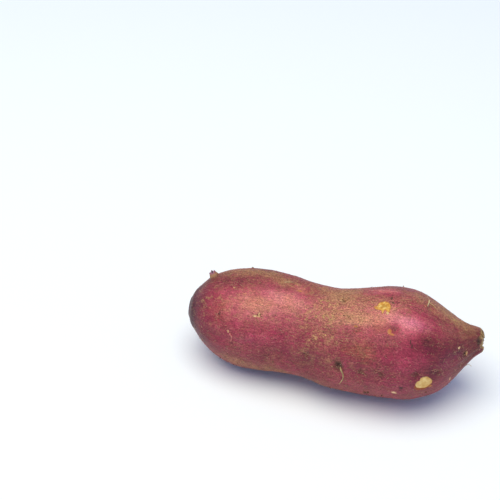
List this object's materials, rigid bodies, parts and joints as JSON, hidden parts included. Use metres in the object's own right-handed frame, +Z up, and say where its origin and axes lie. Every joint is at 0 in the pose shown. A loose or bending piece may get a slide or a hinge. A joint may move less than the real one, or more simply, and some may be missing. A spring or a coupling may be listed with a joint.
{
  "type": "sweet potato",
  "caption": "Sweet potato: a red-skinned storage root with two soft lobes, a wrinkled tail stub, a cut vine end, eyes in rows and short rootlets, lying on its side.",
  "frame": {"origin": "on the resting surface, under the middle of the root's bounding box", "axes": "+X along the root from the vine end to the tail, +Z up from the resting surface, -Y towards the side that the picture shows"},
  "size_m": [0.1674, 0.0712, 0.0609],
  "materials": {
    "sweet_potato_skin": "satin"
  },
  "bodies": {
    "root": {"sweet_potato": "sweet_potato_skin"}
  },
  "joints": []
}
